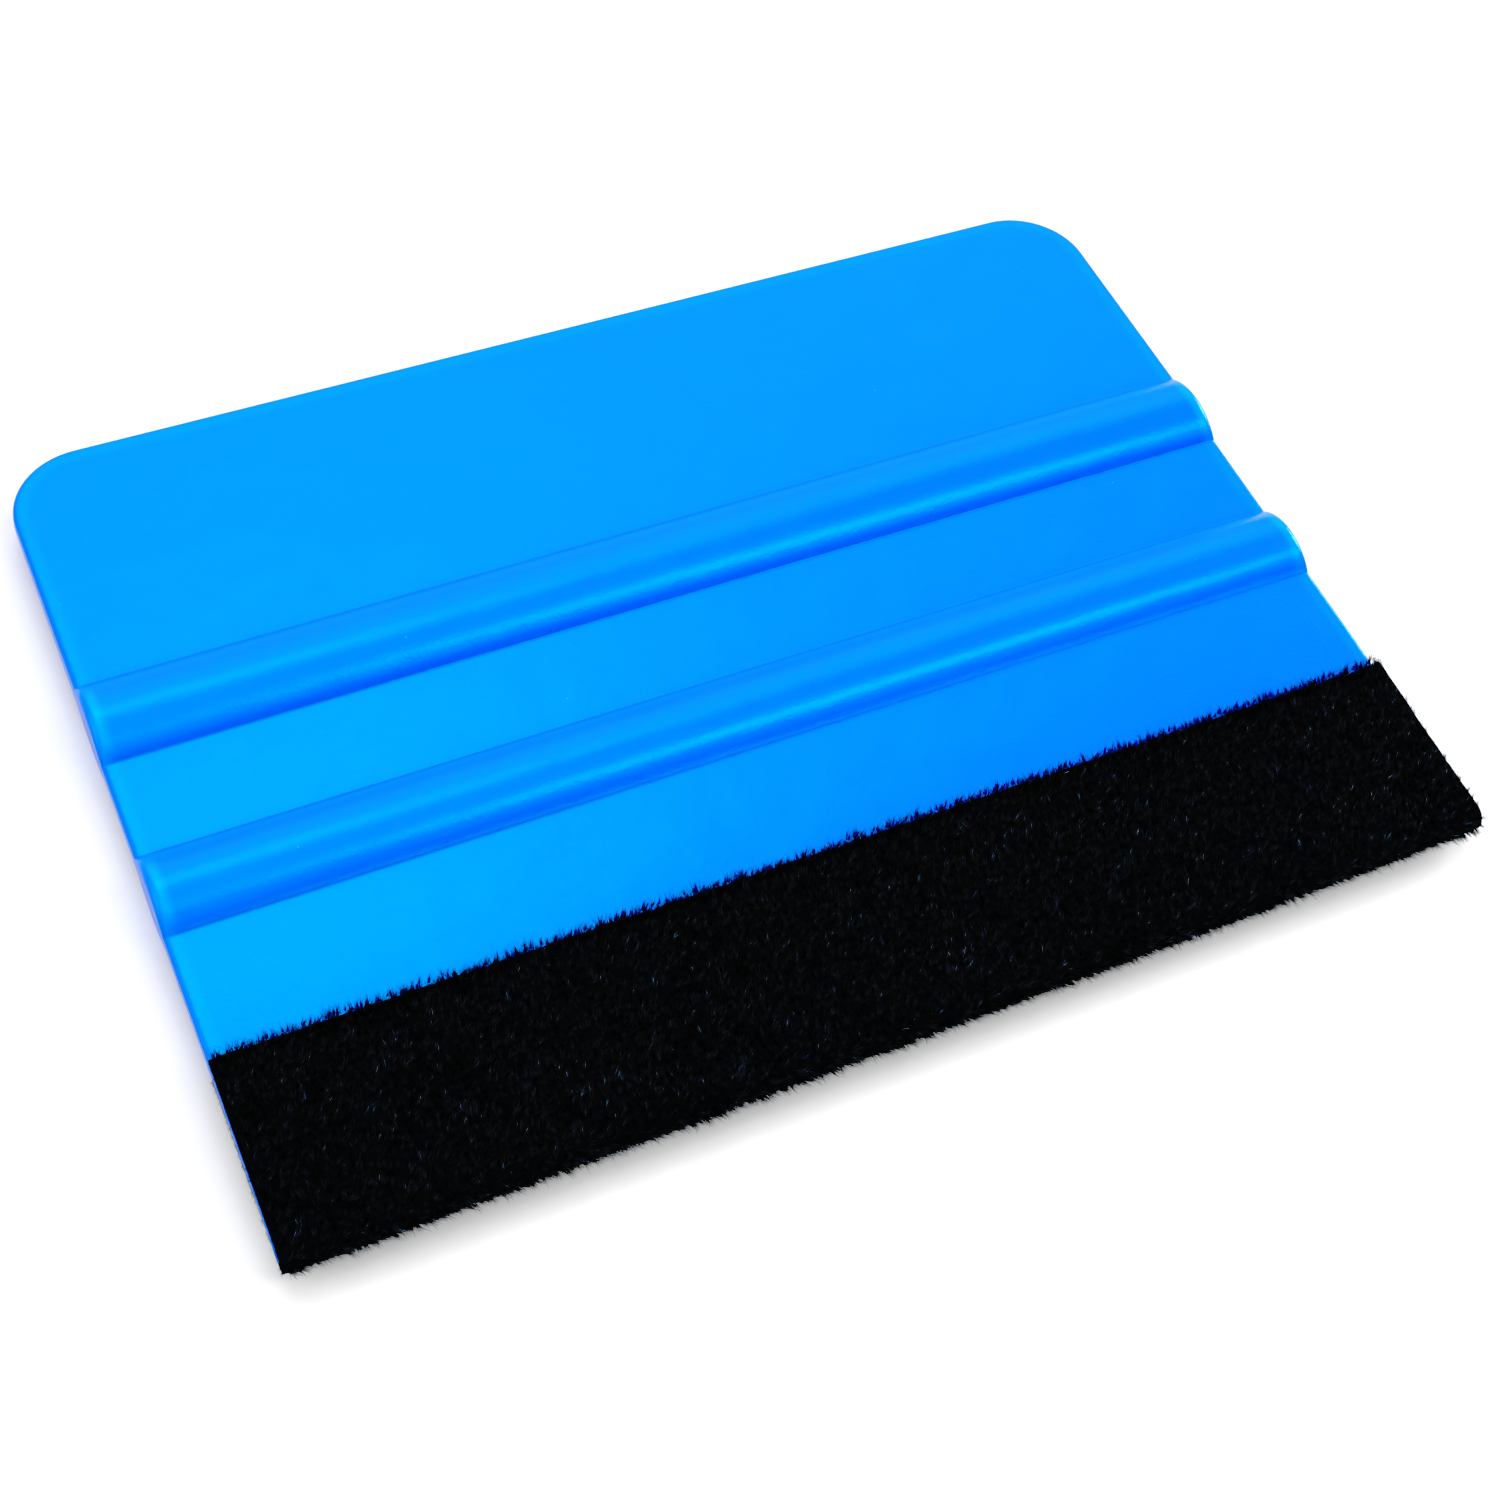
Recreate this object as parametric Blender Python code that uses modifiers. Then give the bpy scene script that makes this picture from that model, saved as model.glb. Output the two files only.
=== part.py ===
"""Felt-edged squeegee applicator for laying vinyl film.

A moulded plastic card with two grip ribs on each face, and a felt strip that is
folded round the card's thin working edge and held there by a film of adhesive.

Units are metres, +Z is up. The tool lies flat on its two lower ribs. The origin
is under the middle of the whole tool, on the surface that it lies on. +X runs
along the working edge and +Y runs from the felt to the rounded grip edge.

Each section is drawn in the card's own plane: its first coordinate runs from the
working edge towards the grip edge, and its second stands up from the mid-plane.
"""

import math

import bmesh
import bpy

# Card, seen from above.
CARD_WIDTH = 0.1000
CARD_DEPTH = 0.0730
CORNER_RADIUS = 0.0065

# Card, in section.
LAND_THICKNESS = 0.0020
GRIP_ROOT_THICKNESS = 0.0028
GRIP_EDGE_THICKNESS = 0.0018
WORKING_EDGE_RADIUS = 0.00045
TAPER_LENGTH = 0.0188
EDGE_ROUNDING = 0.0003

# Grip ribs, the same on both faces, measured from the working edge.
RIB_CENTRES = (0.02965, 0.04575)
RIB_WIDTH = 0.0070
RIB_HEIGHT = 0.00175

# Felt strip and the adhesive that holds it.
FELT_THICKNESS = 0.00065
FELT_REACH = 0.0152
FELT_END_INSET = 0.0003
ADHESIVE_THICKNESS = 0.00012
ADHESIVE_MARGIN = 0.0004
LAYER_GAP = 0.00004

# How finely curves are faceted, and how far cutting shapes overshoot.
RIB_STEPS = 10
CORNER_STEPS = 12
EDGE_STEPS = 8
ROUNDING_SEGMENTS = 2
OVERSHOOT = 0.002

# Places that follow from the sizes above.
WRAP_THICKNESS = 2 * LAYER_GAP + ADHESIVE_THICKNESS + FELT_THICKNESS
TOOL_DEPTH = CARD_DEPTH + WRAP_THICKNESS
WORKING_EDGE_Y = WRAP_THICKNESS - TOOL_DEPTH / 2
MID_PLANE_Z = LAND_THICKNESS / 2 + RIB_HEIGHT
RIB_RADIUS = (RIB_WIDTH**2 / 4 + RIB_HEIGHT**2) / (2 * RIB_HEIGHT)

# Turns a drawn section so that its first axis is +Y, its second +Z and its depth +X.
SECTION_TURN = (math.pi / 2, 0, math.pi / 2)


def clear_scene():
    """Remove every object that the scene holds."""
    for thing in list(bpy.data.objects):
        bpy.data.objects.remove(thing, do_unlink=True)


def make_collection(name):
    """Add a collection to the scene."""
    collection = bpy.data.collections.new(name)
    bpy.context.scene.collection.children.link(collection)
    return collection


def make_material(name, colour, roughness, metallic=0.0):
    """Make a plain material from a linear colour."""
    material = bpy.data.materials.new(name)
    material.use_nodes = True
    shader = material.node_tree.nodes["Principled BSDF"]
    shader.inputs["Base Color"].default_value = (*colour, 1.0)
    shader.inputs["Roughness"].default_value = roughness
    shader.inputs["Metallic"].default_value = metallic
    return material


def arc(centre, radius, start, end, steps):
    """Points along an arc, both ends included, with angles in radians."""
    points = []
    for step in range(steps + 1):
        angle = start + (end - start) * step / steps
        points.append(
            (
                centre[0] + radius * math.cos(angle),
                centre[1] + radius * math.sin(angle),
            )
        )
    return points


def taper_angle():
    """Slope of the face that runs from the round working edge up to the full land."""
    run = TAPER_LENGTH - WORKING_EDGE_RADIUS
    rise = LAND_THICKNESS / 2
    distance = math.hypot(run, rise)
    return math.atan2(rise, run) - math.asin(WORKING_EDGE_RADIUS / distance)


def rib_points(centre, far_foot_height):
    """One rib's outline: near foot, crest, and far foot at its own height."""
    hub_height = MID_PLANE_Z - RIB_RADIUS
    hub = (centre, hub_height)
    near_foot = math.pi - math.asin((LAND_THICKNESS / 2 - hub_height) / RIB_RADIUS)
    far_foot = math.asin((far_foot_height - hub_height) / RIB_RADIUS)
    crest = math.pi / 2
    rise = arc(hub, RIB_RADIUS, near_foot, crest, RIB_STEPS)
    fall = arc(hub, RIB_RADIUS, crest, far_foot, RIB_STEPS)
    return rise + fall[1:]


def upper_profile():
    """The card's upper face, from the round working edge to past the grip edge."""
    edge_hub = (WORKING_EDGE_RADIUS, 0.0)
    edge_top = math.pi / 2 + taper_angle()
    points = arc(edge_hub, WORKING_EDGE_RADIUS, math.pi, edge_top, EDGE_STEPS)
    points.append((TAPER_LENGTH, LAND_THICKNESS / 2))
    near_rib, far_rib = RIB_CENTRES
    points += rib_points(near_rib, LAND_THICKNESS / 2)
    points += rib_points(far_rib, GRIP_ROOT_THICKNESS / 2)
    root = points[-1]
    slope = (GRIP_EDGE_THICKNESS / 2 - root[1]) / (CARD_DEPTH - root[0])
    end = CARD_DEPTH + OVERSHOOT
    points.append((end, root[1] + slope * (end - root[0])))
    return points


def card_section():
    """Closed outline of the card: the upper profile and its mirror image below."""
    upper = upper_profile()
    lower = [(along, -height) for along, height in reversed(upper[1:])]
    return upper + lower


def card_plan():
    """The card from above: square at the working edge, round at the grip edge."""
    half = CARD_WIDTH / 2
    inner_x = half - CORNER_RADIUS
    inner_y = CARD_DEPTH - CORNER_RADIUS
    quarter = math.pi / 2
    right = arc((inner_x, inner_y), CORNER_RADIUS, 0, quarter, CORNER_STEPS)
    left = arc((-inner_x, inner_y), CORNER_RADIUS, quarter, 2 * quarter, CORNER_STEPS)
    return [(-half, -OVERSHOOT), (half, -OVERSHOOT)] + right + left


def wrap_path(offset, reach):
    """A line round the working edge at a distance from the card, lower end first."""
    slope = taper_angle()
    hub = (WORKING_EDGE_RADIUS, 0.0)
    radius = WORKING_EDGE_RADIUS + offset
    tangent = math.pi / 2 + slope
    nose = arc(hub, radius, -tangent, -2 * math.pi + tangent, 2 * EDGE_STEPS)
    start = WORKING_EDGE_RADIUS * (1 - math.sin(slope))
    run = reach - start
    upper_end = (
        nose[-1][0] + run,
        nose[-1][1] + run * math.tan(slope),
    )
    lower_end = (upper_end[0], -upper_end[1])
    return [lower_end] + nose + [upper_end]


def wrap_section(offset, thickness, reach):
    """Closed outline of a layer of even thickness folded round the working edge."""
    inner = wrap_path(offset, reach)
    outer = wrap_path(offset + thickness, reach)
    return inner + outer[::-1]


def make_prism(name, outline, depth):
    """A flat outline given a depth, centred on its own plane, as a closed mesh."""
    curve = bpy.data.curves.new(name, "CURVE")
    curve.dimensions = "2D"
    curve.fill_mode = "BOTH"
    curve.extrude = depth / 2
    spline = curve.splines.new("POLY")
    spline.points.add(len(outline) - 1)
    for point, (first, second) in zip(spline.points, outline):
        point.co = (first, second, 0, 1)
    spline.use_cyclic_u = True
    drawn = bpy.data.objects.new(name + "_curve", curve)
    bpy.context.scene.collection.objects.link(drawn)
    graph = bpy.context.evaluated_depsgraph_get()
    mesh = bpy.data.meshes.new_from_object(drawn.evaluated_get(graph))
    bpy.data.objects.remove(drawn, do_unlink=True)
    shape = bmesh.new()
    shape.from_mesh(mesh)
    bmesh.ops.remove_doubles(shape, verts=shape.verts, dist=1e-6)
    bmesh.ops.recalc_face_normals(shape, faces=shape.faces)
    shape.to_mesh(mesh)
    shape.free()
    mesh.name = name
    return bpy.data.objects.new(name, mesh)


def place_section(piece, collection, parent, material):
    """Stand a drawn section up at the working edge and give it its material."""
    collection.objects.link(piece)
    piece.parent = parent
    piece.location = (0, WORKING_EDGE_Y, MID_PLANE_Z)
    piece.rotation_euler = SECTION_TURN
    piece.data.materials.clear()
    piece.data.materials.append(material)
    piece.data.shade_smooth()
    piece.data.set_sharp_from_angle(angle=math.radians(30))


def make_plan_cutter(collection, parent):
    """The block that trims the card to its outline from above."""
    cutter = make_prism("card_plan_block", card_plan(), 4 * MID_PLANE_Z)
    collection.objects.link(cutter)
    cutter.parent = parent
    cutter.location = (0, WORKING_EDGE_Y, MID_PLANE_Z)
    cutter.hide_render = True
    cutter.display_type = "WIRE"
    return cutter


def make_card(collection, cutters, parent):
    """The moulded card: ribbed section, trimmed in plan, with its rims rounded."""
    card = make_prism("ribbed_card", card_section(), CARD_WIDTH + 2 * OVERSHOOT)
    plastic = make_material("blue_polypropylene", (0.0, 0.27, 0.90), 0.38)
    place_section(card, collection, parent, plastic)
    trim = card.modifiers.new("trim_to_plan", "BOOLEAN")
    trim.operation = "INTERSECT"
    trim.object = make_plan_cutter(cutters, parent)
    rim = card.modifiers.new("rounded_rims", "BEVEL")
    rim.width = min(EDGE_ROUNDING, WORKING_EDGE_RADIUS * 0.8)
    rim.segments = ROUNDING_SEGMENTS
    rim.limit_method = "ANGLE"
    rim.angle_limit = math.radians(60)
    return card


def make_adhesive(collection, parent):
    """The double-sided film between card and felt, just short of the felt all round."""
    section = wrap_section(LAYER_GAP, ADHESIVE_THICKNESS, FELT_REACH - ADHESIVE_MARGIN)
    width = CARD_WIDTH - 2 * (FELT_END_INSET + ADHESIVE_MARGIN)
    film = make_prism("adhesive_film", section, width)
    acrylic = make_material("clear_acrylic_adhesive", (0.75, 0.74, 0.68), 0.25)
    place_section(film, collection, parent, acrylic)
    return film


def make_felt(collection, parent):
    """The felt strip folded round the working edge, its ends trimmed by knife."""
    offset = 2 * LAYER_GAP + ADHESIVE_THICKNESS
    section = wrap_section(offset, FELT_THICKNESS, FELT_REACH)
    felt = make_prism("felt_edge_strip", section, CARD_WIDTH - 2 * FELT_END_INSET)
    wool = make_material("black_felt", (0.006, 0.006, 0.007), 0.95)
    place_section(felt, collection, parent, wool)
    return felt


def main():
    """Build the tool from nothing."""
    clear_scene()
    parts = make_collection("squeegee_applicator")
    cutters = make_collection("cutters")
    root = bpy.data.objects.new("squeegee_applicator", None)
    parts.objects.link(root)
    make_card(parts, cutters, root)
    make_adhesive(parts, root)
    make_felt(parts, root)


main()
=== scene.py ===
"""Looks of a felt-edged squeegee applicator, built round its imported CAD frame.

The tool lies flat on a pale floor: a moulded plastic card with two grip ribs on
each face, and a strip of black felt folded round the thin working edge. Metres
everywhere, +X along the working edge, +Y from the felt to the rounded grip edge,
+Z up, and the origin under the middle of the tool.
"""

import logging
import math
import random
from collections.abc import Iterable, Iterator
from dataclasses import dataclass
from enum import Enum

import bmesh
import bpy
from bmesh.types import BMesh, BMVert
from bpy.types import Material, Mesh, Node, NodeSocket, NodeTree, Object
from mathutils import Euler, Matrix, Vector, noise


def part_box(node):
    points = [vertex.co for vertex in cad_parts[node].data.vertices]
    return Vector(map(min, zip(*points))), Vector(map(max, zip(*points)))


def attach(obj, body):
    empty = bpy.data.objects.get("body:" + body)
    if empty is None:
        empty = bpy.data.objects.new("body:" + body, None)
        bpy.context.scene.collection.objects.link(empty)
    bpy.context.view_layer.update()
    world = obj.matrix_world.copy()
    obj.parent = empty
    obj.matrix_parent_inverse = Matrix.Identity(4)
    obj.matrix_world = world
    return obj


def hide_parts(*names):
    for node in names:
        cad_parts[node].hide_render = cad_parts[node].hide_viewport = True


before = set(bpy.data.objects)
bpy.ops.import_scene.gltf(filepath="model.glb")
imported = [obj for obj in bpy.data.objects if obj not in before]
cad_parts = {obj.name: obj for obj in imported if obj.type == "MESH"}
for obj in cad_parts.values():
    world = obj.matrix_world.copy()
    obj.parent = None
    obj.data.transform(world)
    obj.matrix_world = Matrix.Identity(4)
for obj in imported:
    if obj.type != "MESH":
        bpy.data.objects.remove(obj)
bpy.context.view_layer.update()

MM = 0.001
BODY = "root"
LOG = logging.getLogger("squeegee_applicator")


def linear(colour: str) -> tuple[float, float, float, float]:
    """Turn an sRGB colour written as "#rrggbb" into linear light with an alpha of 1."""
    channels = [int(colour[start : start + 2], 16) / 255 for start in (1, 3, 5)]
    light = [c / 12.92 if c <= 0.04045 else ((c + 0.055) / 1.055) ** 2.4 for c in channels]
    return (light[0], light[1], light[2], 1.0)


def add_node(
    tree: NodeTree,
    kind: str,
    values: dict | None = None,
    links: dict | None = None,
    **settings: object,
) -> Node:
    """Add one node to a tree.

    Args:
        tree: the tree that gets the node.
        kind: the node's type name, without the ShaderNode that they all start with.
        values: constants for its inputs, by name or number.
        links: outputs of other nodes for its inputs, by name or number.
        **settings: the node's own options.

    Returns:
        The new node.
    """
    made = tree.nodes.new(f"ShaderNode{kind}")
    for name, setting in settings.items():
        setattr(made, name, setting)
    for socket, value in (values or {}).items():
        made.inputs[socket].default_value = value
    for socket, source in (links or {}).items():
        tree.links.new(source, made.inputs[socket])
    return made


def start_material(name: str) -> tuple[Material, NodeTree]:
    """Make a material, named for what the real one is, with an empty node tree."""
    material = bpy.data.materials.new(name)
    material.use_nodes = True
    material.node_tree.nodes.clear()
    return material, material.node_tree


def end_material(tree: NodeTree, values: dict, links: dict) -> None:
    """Give a material its shader, with constants and links for its inputs, and join the output."""
    shader = add_node(tree, "BsdfPrincipled", values, links)
    add_node(tree, "OutputMaterial", links={"Surface": shader.outputs[0]})


def mottled_material(
    name: str,
    pattern: dict,
    colours: tuple[str, str],
    surface: dict,
    relief: dict | None = None,
) -> Material:
    """Make a material whose colour, and relief if it has any, follow one noise.

    Args:
        name: what the real material is.
        pattern: the noise's constants.
        colours: the tones at the noise's low and high ends.
        surface: the shader's constants.
        relief: the bump's constants.

    Returns:
        The material.
    """
    material, tree = start_material(name)
    where = add_node(tree, "TexCoord").outputs["Object"]
    mottle = add_node(tree, "TexNoise", pattern, {"Vector": where}).outputs["Fac"]
    tones = {6: linear(colours[0]), 7: linear(colours[1])}
    links = {"Base Color": add_node(tree, "Mix", tones, {0: mottle}, data_type="RGBA").outputs[2]}
    if relief:
        links["Normal"] = add_node(tree, "Bump", relief, {"Height": mottle}).outputs["Normal"]
    end_material(tree, surface, links)
    return material


def make_object(name: str, shape: BMesh, material: Material) -> Object:
    """Turn a finished shape into an object at the origin.

    Args:
        name: the object's name.
        shape: its mesh, in place, which is freed here.
        material: its finish.

    Returns:
        The new object.
    """
    mesh = bpy.data.meshes.new(name)
    shape.to_mesh(mesh)
    shape.free()
    mesh.materials.append(material)
    made = bpy.data.objects.new(name, mesh)
    bpy.context.scene.collection.objects.link(made)
    return made


def finish_piece(name: str, shape: BMesh, material: Material) -> Object:
    """Make an object into a smooth-shaded piece that rides on the tool."""
    piece = make_object(name, shape, material)
    piece.data.shade_smooth()
    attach(piece, BODY)
    LOG.info("%s: %d faces", name, len(piece.data.polygons))
    return piece


def smooth_max(first: float, second: float, blend: float) -> float:
    """The larger of two heights, filleted where they differ by less than the blend."""
    overlap = max(blend - abs(first - second), 0.0) / blend
    return max(first, second) + overlap * overlap * blend / 4


def smooth_step(value: float) -> float:
    """Ease a value from 0 to 1 and hold it there outside that range."""
    held = min(max(value, 0.0), 1.0)
    return held * held * (3 - 2 * held)


# ---------------------------------------------------------------- finishes


@dataclass(frozen=True)
class MouldedPolypropylene:
    """Injection-moulded polypropylene, azure right through, with a satin mould finish.

    It gives the eye a strong even blue with a soft, slightly blue sheen and a faint
    grain on the slopes. Its rims and the slopes behind its ribs are painted paler as
    painted highlight, and its rib creases and outline are painted deeper as painted shade.
    """

    name: str = "injection_moulded_polypropylene"
    body: str = "#0058e9"
    flow_mark: str = "#005ce6"
    # Painted highlight: the paler blue on the rims and on the slopes behind the ribs.
    painted_light: str = "#007cfa"
    # Painted shade: the deeper blue in the rib creases and along the outline.
    painted_shade: str = "#0048d2"
    sheen_tint: str = "#00ffff"
    sheen: float = 1.0
    ior: float = 1.49
    roughness: float = 0.3
    scuff_play: tuple[float, float] = (-0.01, 0.015)
    # The mould's spark-eroded grain is about 0.05 mm: drawn six times coarser, so that it shows.
    grain: float = 0.3 * MM
    grain_depth: float = 0.02 * MM
    flow_width: float = 9 * MM
    sink_width: float = 5 * MM
    sink_depth: float = 0.08 * MM
    scuff_length: float = 6 * MM
    # Fine scuffs are about 0.03 mm wide: drawn four times wider, so that they show.
    scuff_width: float = 0.12 * MM
    scuff_turn: float = 0.3
    speck: str = "#7fc4ff"
    speck_spacing: float = 5 * MM
    # Dust and nicks are under 0.05 mm: drawn about three times larger, so that they show.
    speck_size: float = 0.08 * MM
    speck_share: float = 0.5

    def colour(self, tree: NodeTree, where: NodeSocket) -> NodeSocket:
        """Blue with faint flow marks and dust specks, painted highlight at the rims and on the slopes
        behind the ribs, and painted shade in the rib creases and along the outline.

        Args:
            tree: the material's tree.
            where: the object coordinates.

        Returns:
            The colour socket.
        """
        streaks = {"Scale": 1 / self.flow_width, "Detail": 2.0, "Distortion": 0.6}
        flow = add_node(tree, "TexNoise", streaks, {"Vector": where})
        tones = {6: linear(self.body), 7: linear(self.flow_mark)}
        colour = add_node(tree, "Mix", tones, {0: flow.outputs["Fac"]}, data_type="RGBA").outputs[2]
        cells = add_node(tree, "TexVoronoi", {"Scale": 1 / self.speck_spacing}, {"Vector": where})
        reach = self.speck_size / self.speck_spacing
        fading = {"From Min": reach, "From Max": reach / 2, "To Max": self.speck_share}
        specks = add_node(tree, "MapRange", fading, {"Value": cells.outputs["Distance"]})
        # Two vertex weights paint light and shade into the blue: painted highlight at the rims and slopes,
        # painted shade in the creases and along the outline.
        painted_light = add_node(tree, "Attribute", attribute_name="painted_light")
        painted_shade = add_node(tree, "Attribute", attribute_name="painted_shade")
        for tone, share in (
            (self.painted_light, painted_light.outputs["Fac"]),
            (self.painted_shade, painted_shade.outputs["Fac"]),
            (self.speck, specks.outputs["Result"]),
        ):
            links = {0: share, 6: colour}
            colour = add_node(tree, "Mix", {7: linear(tone)}, links, data_type="RGBA").outputs[2]
        return colour

    def relief(self, tree: NodeTree, where: NodeSocket) -> NodeSocket:
        """The normals of mould grain, on a surface that has sunk unevenly as it cooled."""
        layers = (
            ({"Scale": 1 / self.grain, "Detail": 3.0, "Roughness": 0.6}, self.grain_depth),
            ({"Scale": 1 / self.sink_width, "Detail": 1.0}, self.sink_depth),
        )
        below = {}
        for pattern, depth in layers:
            height = add_node(tree, "TexNoise", pattern, {"Vector": where}).outputs["Fac"]
            reach = {"Strength": 1.0, "Distance": depth}
            bump = add_node(tree, "Bump", reach, {"Height": height, **below})
            below = {"Normal": bump.outputs["Normal"]}
        return below["Normal"]

    def gloss(self, tree: NodeTree, where: NodeSocket) -> NodeSocket:
        """Roughness that varies a little, with fine scuffs that run along the tool."""
        stretch = {
            "Scale": (self.scuff_width / self.scuff_length, 1.0, 1.0),
            "Rotation": (0.0, 0.0, self.scuff_turn),
        }
        drawn_out = add_node(tree, "Mapping", stretch, {"Vector": where}).outputs["Vector"]
        scratches = {"Scale": 1 / self.scuff_width, "Detail": 1.0}
        scuffs = add_node(tree, "TexNoise", scratches, {"Vector": drawn_out})
        smoothest, roughest = (self.roughness + play for play in self.scuff_play)
        spread = {"From Min": 0.3, "From Max": 0.7, "To Min": smoothest, "To Max": roughest}
        return add_node(tree, "MapRange", spread, {"Value": scuffs.outputs["Fac"]}).outputs["Result"]

    def material(self) -> Material:
        """Build the finish."""
        material, tree = start_material(self.name)
        where = add_node(tree, "TexCoord").outputs["Object"]
        end_material(
            tree,
            {"IOR": self.ior, "Specular IOR Level": self.sheen, "Specular Tint": linear(self.sheen_tint)},
            {
                "Base Color": self.colour(tree, where),
                "Roughness": self.gloss(tree, where),
                "Normal": self.relief(tree, where),
            },
        )
        return material


@dataclass(frozen=True)
class NeedlePunchedFelt:
    """Needle-punched polyester felt, dyed black: the dense body under the nap.

    It gives the eye a black that swallows light, with a barely seen matted swirl.
    """

    name: str = "needle_punched_polyester_felt"
    pit: str = "#0a0c0e"
    fibre: str = "#2a2f34"
    roughness: float = 0.95
    specular: float = 0.05
    # Felt fibres are about 0.02 mm thick: the matting is drawn in 0.15 mm strands, so that it shows.
    strand: float = 0.15 * MM
    matting_depth: float = 0.08 * MM

    def material(self) -> Material:
        """Build the finish."""
        return mottled_material(
            self.name,
            {"Scale": 1 / (3 * self.strand), "Detail": 4.0, "Roughness": 0.65, "Distortion": 2.5},
            (self.pit, self.fibre),
            {"Roughness": self.roughness, "Specular IOR Level": self.specular},
            {"Strength": 0.8, "Distance": self.matting_depth},
        )


@dataclass(frozen=True)
class PolyesterNap:
    """Loose black polyester fibre, raised from the felt by brushing.

    Each fibre is painted darker at its root, as painted shade deep in the pile, and
    greyer at its tip; the paler tips of some tufts are painted glints, and a few fibres
    have caught pale lint. The colours are laid out on the fibre's own map: along it from
    root to tip, and across the map from the darkest fibres to the palest.
    """

    name: str = "brushed_polyester_nap"
    # Painted shade: the darker root, deep in the pile.
    root: str = "#0d0f11"
    tip: str = "#15181b"
    # Painted glint: the pale tips of the paler rows.
    painted_glint_tip: str = "#78848e"
    lint: str = "#c8cac8"
    glint_from: float = 0.3
    lint_from: float = 0.98
    roughness: float = 0.6
    specular: float = 0.2

    def material(self) -> Material:
        """Build the finish."""
        material, tree = start_material(self.name)
        layout = add_node(tree, "UVMap", uv_map="OFBake")
        split = add_node(tree, "SeparateXYZ", links={"Vector": layout.outputs["UV"]})
        along, row = split.outputs["X"], split.outputs["Y"]
        # The paler rows get painted glint tips.
        paling = {"From Min": self.glint_from, "From Max": self.lint_from}
        glinting = add_node(tree, "MapRange", paling, {"Value": row})
        tones = {6: linear(self.tip), 7: linear(self.painted_glint_tip)}
        tip = add_node(tree, "Mix", tones, {0: glinting.outputs["Result"]}, data_type="RGBA")
        linty = add_node(tree, "Math", {1: self.lint_from}, {0: row}, operation="GREATER_THAN")
        shares = {0: linty.outputs["Value"], 6: tip.outputs[2]}
        ended = add_node(tree, "Mix", {7: linear(self.lint)}, shares, data_type="RGBA")
        # Painted shade: each fibre darkens from its tip down to its root.
        shares = {0: along, 7: ended.outputs[2]}
        colour = add_node(tree, "Mix", {6: linear(self.root)}, shares, data_type="RGBA")
        surface = {"Roughness": self.roughness, "Specular IOR Level": self.specular}
        end_material(tree, surface, {"Base Color": colour.outputs[2]})
        return material


@dataclass(frozen=True)
class AcrylicAdhesive:
    """Double-sided acrylic transfer adhesive: a clear, faintly yellow film with a soft gloss."""

    name: str = "clear_acrylic_transfer_adhesive"
    clear: str = "#e9e6d6"
    thick: str = "#d8d2b4"
    ior: float = 1.47
    roughness: float = 0.22
    clearness: float = 0.5
    ripple: float = 1.2 * MM
    ripple_depth: float = 0.01 * MM

    def material(self) -> Material:
        """Build the finish."""
        return mottled_material(
            self.name,
            {"Scale": 1 / self.ripple, "Detail": 2.0},
            (self.clear, self.thick),
            {"IOR": self.ior, "Roughness": self.roughness, "Transmission Weight": self.clearness},
            {"Strength": 0.5, "Distance": self.ripple_depth},
        )


@dataclass(frozen=True)
class MattBoard:
    """Matt white board for the floor, with a faint tooth."""

    name: str = "matt_white_board"
    high: str = "#e9e9e9"
    low: str = "#e6e6e7"
    roughness: float = 0.9
    specular: float = 0.1
    tooth: float = 2 * MM

    def material(self) -> Material:
        """Build the finish."""
        surface = {"Roughness": self.roughness, "Specular IOR Level": self.specular}
        return mottled_material(self.name, {"Scale": 1 / self.tooth}, (self.low, self.high), surface)


# ---------------------------------------------------------------- the card


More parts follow.
